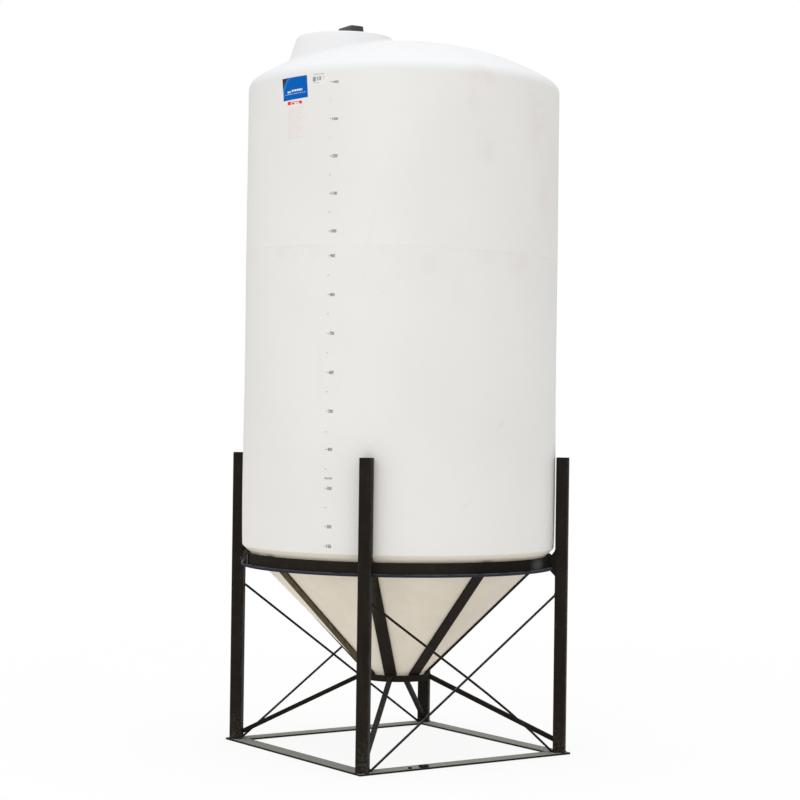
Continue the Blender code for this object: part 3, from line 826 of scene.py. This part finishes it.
def on_field(corners, u, v, proud):
    """A point on the wall at shares u and v of a field."""
    azimuth, height = between(corners, u, v)
    return wall_point(CAMERA_AZIMUTH + math.radians(azimuth), height, proud)


def sheet_between(shape, corners, proud, columns=10, rows=6):
    """A film on the wall between four corners (angle, height)."""
    points, faces = grid(columns, rows, lambda u, v: on_field(corners, u, v, proud))
    shape.add(points, [face[:1] + face[:0:-1] for face in faces])


def sloped(left, right, top, bottom, origin=0.0, slope=0.0):
    """The corners of a strip from its four sides. It rises by a slope, counted from an origin."""
    rise_left, rise_right = (left - origin) * slope, (right - origin) * slope
    return ((left, top + rise_left), (right, top + rise_right),
            (right, bottom + rise_right), (left, bottom + rise_left))


def blocks(left, right, length, space, generator):
    """Cuts a line into short blocks of uneven length with uneven gaps."""
    made = []
    at = left
    while at < right - length * 0.4:
        end = min(right, at + length * generator.uniform(0.6, 1.5))
        made.append((at, end))
        at = end + space * generator.uniform(0.7, 1.5)
    return made


def stick(shape, name, *look):
    """Makes the sticker piece. The look is what printed() takes."""
    shape.piece(name, printed(*look), "label_vinyl")


def build_blue_sticker():
    """A blue field with a dark corner, a paler band and plain blocks. No lettering."""
    field = Shape()
    sheet_between(field, STICKER, FILM_PROUD)
    stick(field, "blue_sticker", "sticker_blue", (0.0, 0.105, 0.44), 0.02, 0.35, 0.05)

    start, bend, end = Vector((0.3, 0.0)), Vector((0.09, 0.14)), Vector((0.0, 0.55))
    inner = [tuple(eased(start, bend, end, i / 8)) for i in range(9)]
    corner = Shape()
    for outline in ([(0.0, 0.0)] + inner, [(0.0, 0.86), (0.06, 0.97), (0.07, 1.0), (0.0, 1.0)]):
        points = [on_field(STICKER, u, v, TOP_PROUD) for u, v in outline]
        corner.add(points, [tuple(range(len(points)))[::-1]])
    stick(corner, "sticker_dark_corner", "sticker_dark", (0.035, 0.03, 0.035), 0.1, 0.3, 0.05)

    wider = [(0.4, 0.0)]
    wider += [(u + 0.085 - 0.003 * k, v + 0.006 * k) for k, (u, v) in enumerate(inner) if k]
    inner.append((0.0, 0.86))
    wider.append((0.055, 0.86))
    band = Shape()
    count = len(inner)
    band.add([on_field(STICKER, u, v, BAND_PROUD) for u, v in inner + wider],
             [(i, i + 1, count + i + 1, count + i) for i in range(count - 1)])
    stick(band, "sticker_pale_band", "sticker_pale", (0.01, 0.2, 0.56), 0.1, 0.3, 0.05)

    lines = Shape()
    generator = random.Random(5)
    for left, right, top, bottom, length, space in (
            (0.2, 0.33, 0.6, 0.685, 0.05, 0.014), (0.38, 0.8, 0.56, 0.65, 0.045, 0.014),
            (0.1, 0.92, 0.735, 0.755, 0.05, 0.02)):
        for u0, u1 in blocks(left, right, length, space, generator):
            corners = [between(STICKER, u, v) for u, v in sloped(u0, u1, top, bottom)]
            sheet_between(lines, corners, TOP_PROUD, 1, 1)
    stick(lines, "sticker_plain_lines", "sticker_white", (0.75, 0.78, 0.8), 0.15, 0.35)


def build_tag():
    """A small white tag with plain bars and lines."""
    tag = Shape()
    sheet_between(tag, TAG, INK_PROUD)
    stick(tag, "small_tag", "tag_white", (0.77, 0.77, 0.76), 0.1, 0.4)
    rules = Shape()
    for sides in ((-33.4, -29.0, 134.2, 134.08), (-33.6, -32.3, 133.7, 132.75),
                  (-31.8, -31.3, 133.7, 132.9), (-30.9, -30.2, 133.7, 132.9),
                  (-29.7, -28.6, 133.7, 133.62), (-29.7, -28.6, 133.3, 133.22),
                  (-33.5, -30.8, 132.5, 132.42)):
        sheet_between(rules, sloped(*sides), BAND_PROUD, 4, 1)
    stick(rules, "small_tag_lines", "tag_grey", (0.3, 0.29, 0.28), 0.6, 0.5)


def build_notice():
    """A red strip in pieces over a pale field with faint broken lines."""
    stripe = Shape()
    for sides in ((-45.28, -43.7, 129.36, 128.72), (-43.7, -39.6, 129.36, 129.24),
                  (-43.2, -41.9, 129.1, 128.8), (-41.2, -40.1, 129.05, 128.95),
                  (-39.6, -38.34, 129.42, 128.86)):
        sheet_between(stripe, sloped(*sides, -45.28, -0.013), FILM_PROUD, 2, 1)
    stick(stripe, "red_stripe", "stripe_red", (0.72, 0.015, 0.03), 0.3, 0.4)
    field = Shape()
    sheet_between(field, NOTICE, FIELD_PROUD, 6, 6)
    stick(field, "pale_field", "field_pink", (0.762, 0.73, 0.703), 0.2, 0.5, 0.25)
    generator = random.Random(8)
    pink = Shape()
    for i in range(13):
        top = 128.0 - 0.47 * i
        start = -45.1 + 0.02 * i
        reach = (7.4, 6.6, 7.1, 5.4)[i % 4]
        for left, right in blocks(start, start + reach, 1.0, 0.3, generator):
            sheet_between(pink, sloped(left, right, top, top - 0.17, start, 0.0135), INK_PROUD, 1, 1)
    stick(pink, "pale_ruled_lines", "rules_pink", (0.74, 0.64, 0.62), 0.6, 0.5)


# Stand

def paint_cad_nodes():
    """Gives each CAD node that stays its finish."""
    paints = {
        "leg": stand_paint("leg_paint", layers=(splashed, worn_corners)),
        "cone": stand_paint("rib_paint", sheen=0.48, layers=(dried_film,)),
        "strut": stand_paint("strut_paint", dust_and_sheen=0.45, dust_and_sheen_colour=(0.13, 0.122, 0.12), streak=(0.3, 0.3, 0.3),
                             shine=0.15),
        # The rods' pale bluish upper sides are a painted sky highlight
        "brace": stand_paint("rod_paint", dust_and_sheen=0.8, dust_and_sheen_colour=(0.28, 0.27, 0.32), streak=(0.4, 0.4, 0.4)),
        "ring": stand_paint("bracket_paint", sheen=0.48),
        "base": base_paint("base_paint", (0.29, 0.3, 0.275)),
        # Painted sky reflection with a dusting: the paler tops of the base bars other than the left one
        "pale": base_paint("sky_sheen_base_paint", (0.34, 0.345, 0.32)),
    }
    for name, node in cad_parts.items():
        kind = name.split("_")[0]
        if kind == "base" and name != "base_bar_left":
            kind = "pale"
        if kind in paints:
            node.data.materials.clear()
            node.data.materials.append(paints[kind])


def build_rings():
    """The two rolled rings, rounder than in the CAD model, with eased edges."""
    ring_paint = stand_paint("ring_paint", streak=(0.25, 0.25, 1.0), sheen=0.5, shine=0.08,
                             layers=(ring_wear,))
    corners = [(RING_RADIUS, RING_TOP), (RING_INNER, RING_TOP), (RING_INNER, RING_BOTTOM),
               (RING_FLANGE_RADIUS, RING_BOTTOM), (RING_FLANGE_RADIUS, RING_FLANGE_TOP),
               (RING_RADIUS, RING_FLANGE_TOP)]
    top = turned("top_ring_rolled", rounded(corners, 0.07), ring_paint, "stand_paint")
    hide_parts("top_ring")
    lower_paint = stand_paint("lower_ring_paint", streak=(1.0, 1.0, 0.5))
    corners = [(LOWER_RING_RADIUS, LOWER_RING_TOP), (LOWER_RING_INNER, LOWER_RING_TOP),
               (LOWER_RING_INNER, LOWER_RING_BOTTOM), (LOWER_RING_RADIUS, LOWER_RING_BOTTOM)]
    low = turned("lower_ring_rolled", rounded(corners, 0.05), lower_paint, "stand_paint", steps=144)
    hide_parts("lower_ring")


def build_splice():
    """The plate over the joint in the ring's web, with its weld and two bolts."""
    start, end = (CAMERA_AZIMUTH + math.radians(a) for a in (-96.0, -72.0))
    low, high = RING_FLANGE_TOP + 0.02, RING_TOP - 0.05
    outline = ((31.55, low), (31.82, low + 0.04), (31.86, low + 0.1), (31.86, high - 0.1),
               (31.82, high - 0.04), (31.55, high))
    plate = Shape()
    plate.rings([[round_point(r, z, start + (end - start) * i / 24) for r, z in outline] for i in range(25)])
    plate.piece("ring_splice", stand_paint("splice_paint", sheen=0.5, shine=0.08), "stand_paint", angle=30.0)
    seam = Shape()
    seam.bead([round_point(31.9, low - 0.3 + 0.2 * i, end) for i in range(12)], 0.12, random.Random(3))
    seam.piece("splice_weld", printed("bare_weld", (0.14, 0.085, 0.07), 0.2, 0.6), "stand_paint")
    bolts = Shape()
    for azimuth in (-92.0, -76.0):
        out = round_point(1.0, 0.0, CAMERA_AZIMUTH + math.radians(azimuth))
        centre = out * 31.85 + UP * 38.3
        bolts.prism(centre, out, circle(0.72, 24), (0.0, 0.08, 0.1), 0.96)
        bolts.prism(centre, out, circle(0.58, 6), (0.08, 0.46, 0.52), 0.88)
        bolts.prism(centre, out, circle(0.3, 16), (0.5, 0.66, 0.7), 0.85)
    bolts.piece("splice_bolts", bolt_steel(), "bolt_steel", angle=30.0)


def weld_foot(foot, outward, sideways, generator):
    """Beads round a leg's foot and along the base's mitre."""
    centre = outward * LEG_DISTANCE + UP * BASE_TOP
    reach = LEG_HALF - 0.02
    foot.bead(square_path(centre, outward * reach, sideways * reach, gap=0.1), 0.16, generator)
    clear = LEG_HALF + 0.1
    level = UP * (BASE_TOP - 0.03)
    for start, end in ((BASE_INNER * math.sqrt(2) * 1.01, LEG_DISTANCE - clear),
                       (LEG_DISTANCE + clear, BASE_OUTER * math.sqrt(2) * 0.995)):
        foot.bead(line(outward * start + level, outward * end + level), 0.11, generator)


def weld_bracket(ring, outward, sideways, generator):
    """Beads round the block between a leg and the ring."""
    leg_face = outward * (LEG_DISTANCE - LEG_HALF)
    ring_face = outward * RING_RADIUS
    for side in (-1, 1):
        for face, low, high in ((leg_face, 36.3, 41.3), (ring_face, 38.1, RING_TOP - 0.15)):
            edge = face + sideways * side * 1.1
            ring.bead(line(edge + UP * low, edge + UP * high), 0.14, generator)
    for height in (36.2, 41.35):
        start = leg_face + UP * height
        ring.bead(line(start - sideways * 1.05, start + sideways * 1.05), 0.13, generator)


def weld_strut(cage, outward, sideways, heights, generator):
    """Beads round both ends of a strut. The heights are its head's and its foot's."""
    head = outward * LOWER_RING_RADIUS + UP * heights[0]
    foot = outward * (LEG_DISTANCE - LEG_HALF) + UP * heights[1]
    for end in (head, foot):
        loop = square_path(end, sideways * STRUT_HALF, UP * STRUT_HALF * 1.1, 0.25)
        cage.bead(loop, 0.1, generator, 5)


def weld_rib(cage, angle, generator):
    """Beads where a rib meets the two rings."""
    half = RIB_HALF / RING_INNER
    cage.bead(curve_round(RING_INNER - 0.02, RING_TOP - 0.35, angle, half), 0.12, generator, 5)
    for side in (-1, 1):
        start = round_point(RING_INNER - 0.05, 0.0, angle + side * half)
        cage.bead(line(start + UP * 39.2, start + UP * (RING_TOP - 0.2)), 0.12, generator, 5)
    half = RIB_HALF / LOWER_RING_INNER
    low = curve_round(LOWER_RING_INNER - 0.1, LOWER_RING_TOP - 0.02, angle, half, 0.25)
    cage.bead(low, 0.1, generator, 5)


def build_welds(paint):
    """Weld beads where the stand's pieces meet."""
    generator = random.Random(11)
    foot, ring, cage = Shape(), Shape(), Shape()
    for (x, y), heights in zip(CORNERS, STRUT_HEIGHTS):
        outward = Vector((x, y, 0.0)).normalized()
        sideways = UP.cross(outward)
        weld_foot(foot, outward, sideways, generator)
        weld_bracket(ring, outward, sideways, generator)
        weld_strut(cage, outward, sideways, heights, generator)
    for i in range(RIB_COUNT):
        weld_rib(cage, 2 * math.pi * i / RIB_COUNT, generator)
    run = LEG_DISTANCE / math.sqrt(2)
    for face in (-1, 1):
        for side in (-1, 1):
            for height in ROD_END_HEIGHTS:
                end = Vector((side * (run - 1.62), face * run, height))
                cage.bead(line(end - UP * 0.1, end + UP * 0.35, 0.15), 0.24, generator)
    for name, shape in (("foot_welds", foot), ("ring_welds", ring), ("cage_welds", cage)):
        shape.piece(name, paint, "stand_paint", angle=70.0)


def build_base_lugs():
    """The two small blocks on the front base bar."""
    lugs = Shape()
    for centre_x, wide, deep, tall in ((-13.65, 0.55, 0.5, 0.32), (-10.4, 1.7, 1.05, 0.46)):
        outline = [(x * wide / 2, y * deep / 2) for x, y in CORNERS]
        place = Vector((centre_x, -24.95, BASE_TOP))
        lugs.prism(place, UP, outline, (0.0, tall - 0.05, tall), 0.94)
    lugs.piece("base_lugs", stand_paint("lug_paint", dust_and_sheen=0.15), "stand_paint", smooth=False)


# Lid and vent hood

def build_lid(material):
    """The screw-on lid: a plug, a flange with lugs round its edge, ribs and a crown."""
    centre = MANWAY_CENTRE.to_3d()
    floor = RIM_HEIGHT + 0.012
    top = floor + LID_FLANGE
    crown = top + LID_CROWN_RISE
    plug = MOUTH_RADIUS - 0.15
    outer, inner = LID_RADIUS, LID_CROWN_RADIUS
    profile = [(0.02, crown), (0.02, floor), (plug - 0.25, floor), (plug - 0.25, floor - LID_PLUG_DEPTH),
               (plug, floor - LID_PLUG_DEPTH), (plug, floor), (outer, floor), (outer, top - 0.05),
               (outer - 0.05, top), (inner + 0.1, top), (inner, top + 0.08),
               (inner - 0.36, crown - 0.05), (inner - 0.5, crown), (inner - 0.9, crown),
               (inner - 0.95, crown - 0.06), (inner - 1.5, crown - 0.06), (inner - 1.55, crown)]
    lid = turned("screw_lid", profile, material, "lid_plastic", centre, 192, 30.0)
    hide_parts("manway_lid")
    ribs = Shape()
    outline = [(5.45, crown - 0.04), (5.75, top - 0.03), (8.0, top - 0.03), (7.9, top + 0.06),
               (6.1, top + 0.1), (5.6, crown - 0.01)]
    for way in spokes(LID_RIBS):
        side = UP.cross(way)
        ribs.rings([[centre + way * r + side * across + UP * h for r, h in outline]
                    for across in (-0.07, 0.07)])
    for way in spokes(LID_LUGS, 0.5):
        place = centre + way * (outer - 0.02) + UP * (floor + 0.005)
        ribs.prism(place, UP, circle(0.12, 8), (0.0, 0.1, 0.125), 0.75)
    ribs.piece("lid_ribs", material, "lid_plastic", angle=35.0)


def build_vent(material):
    """The hood on the lid: a blunt block with slats along both its long sides and a screw."""
    base = RIM_HEIGHT + LID_FLANGE + LID_CROWN_RISE + 0.024
    tall = RIM_HEIGHT + VENT_RISE + VENT_EXTRA - base
    across = Vector((math.cos(VENT_TURN), math.sin(VENT_TURN), 0.0))
    forward = across.cross(UP)
    place = MANWAY_CENTRE.to_3d() + across * VENT_RIGHT + forward * VENT_FORWARD + UP * base

    def at(right, ahead, height):
        return place + across * right + forward * ahead + UP * height

    half_x, half_y = VENT_WIDTH / 2, VENT_LENGTH / 2
    levels = [(0.0, 0.0), (0.12, 0.01)]
    for down, inset in ((0.25, 0.0), (0.16, 0.02), (0.07, 0.08), (0.02, 0.17), (0.0, 0.27)):
        levels.append((tall - down, VENT_TAPER + inset))
    rings = []
    for height, inset in levels:
        x = half_x - inset
        y = half_y - inset if height > tall - 0.3 else half_y
        outline = rounded([(x, -y), (x, y), (-x, y), (-x, -y)], 0.28, 6)
        rings.append([at(a, b, height) for a, b in outline][::-1])
    hood = Shape()
    hood.rings(rings)
    skin = hood.piece("vent_hood", material, "lid_plastic")
    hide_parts("lid_vent")

    louvres = Shape()
    reach = half_x - 0.05
    for side in (-1, 1):
        for row in range(3):
            height = 0.42 + 0.34 * row
            profile = [(reach - 0.08, height - 0.09), (reach + 0.03, height - 0.09),
                       (reach - 0.02, height + 0.07), (reach - 0.08, height + 0.07)]
            louvres.rings([[at(a * side, b, h) for a, h in profile[::side]]
                           for b in (0.75 - half_y, half_y - 0.75)])
    screw = at(0.1, 1.2, tall - 0.02)
    louvres.prism(screw, UP, circle(0.24, 16), (0.0, 0.07, 0.1), 0.7)
    louvres.piece("vent_louvres", material, "lid_plastic", smooth=False)


# Studio

def camera_place(right, away, up):
    """A point from the tank's axis along the camera's right, away from it, and up, in metres."""
    a = CAMERA_AZIMUTH
    return Vector((right * math.cos(a) - away * math.sin(a), right * math.sin(a) + away * math.cos(a), up))


def add_area(name, place, target, size, power):
    """A round soft light."""
    light = bpy.data.lights.new(name, "AREA")
    light.shape = "DISK"
    light.size = size
    light.energy = power
    lamp = placed(name, light)
    lamp.location = place
    lamp.rotation_mode = "QUATERNION"
    lamp.rotation_quaternion = (Vector(target) - place).to_track_quat("-Z", "Y")
    lamp.visible_camera = False


def build_sky():
    """An even white sky, brighter above. The camera sees it as plain white."""
    world = bpy.data.worlds.new("studio")
    bpy.context.scene.world = world
    world.use_nodes = True
    sky = Nodes(world.node_tree)
    height = sky.parts(sky.node("TexCoord", output="Generated"))["Z"]
    glow = sky.node("MapRange", {"Value": height, "To Min": SKY_LOW, "To Max": SKY_HIGH})
    seen = sky.node("Mix", {0: sky.node("LightPath", output="Is Camera Ray"), 2: glow, 3: 1.0})
    background = sky.tree.nodes["Background"]
    sky.put(background.inputs["Color"], (1.0, 1.0, 1.0))
    sky.put(background.inputs["Strength"], seen)


def build_studio():
    """Sky, two soft lights and a pale floor."""
    build_sky()
    add_area("key", camera_place(-2.7, -8.0, 4.6), (0, 0, 1.8), 4.4, 118.0)
    add_area("top", camera_place(0.5, 0.0, 8.5), (0, 0, 3.0), 6.0, 44.0)
    mesh = bpy.data.meshes.new("floor")
    mesh.from_pydata([tuple(way * FLOOR_RADIUS) for way in spokes(FLOOR_SIDES)], [],
                     [tuple(range(FLOOR_SIDES))])
    mesh.materials.append(floor_paper())
    placed("floor", mesh)


def build_camera():
    """The photograph's camera."""
    camera = bpy.data.cameras.new("camera")
    camera.sensor_width = 36.0
    camera.lens = CAMERA_LENS
    camera.clip_start = 0.1
    camera.clip_end = 200.0
    eye = placed("camera", camera)
    pitch, roll = CAMERA_PITCH, CAMERA_ROLL
    right = camera_place(1.0, 0.0, 0.0)
    away = camera_place(0.0, 1.0, 0.0)
    forward = away * math.cos(pitch) + UP * math.sin(pitch)
    raised = UP * math.cos(pitch) - away * math.sin(pitch)
    across = right * math.cos(roll) + raised * math.sin(roll)
    top = raised * math.cos(roll) - right * math.sin(roll)
    eye.matrix_world = Matrix((across, top, -forward)).transposed().to_4x4()
    eye.location = -away * CAMERA_DISTANCE + UP * CAMERA_HEIGHT
    bpy.context.scene.camera = eye


def main():
    bpy.context.scene.view_settings.view_transform = "Standard"
    build_camera()
    build_studio()
    build_tank_skin(tank_plastic())
    build_scale()
    build_blue_sticker()
    build_tag()
    build_notice()
    paint_cad_nodes()
    build_rings()
    build_splice()
    build_welds(stand_paint("weld_paint", dust_and_sheen=0.3, sheen=0.36))
    build_base_lugs()
    lid = lid_plastic()
    build_lid(lid)
    build_vent(lid)


main()
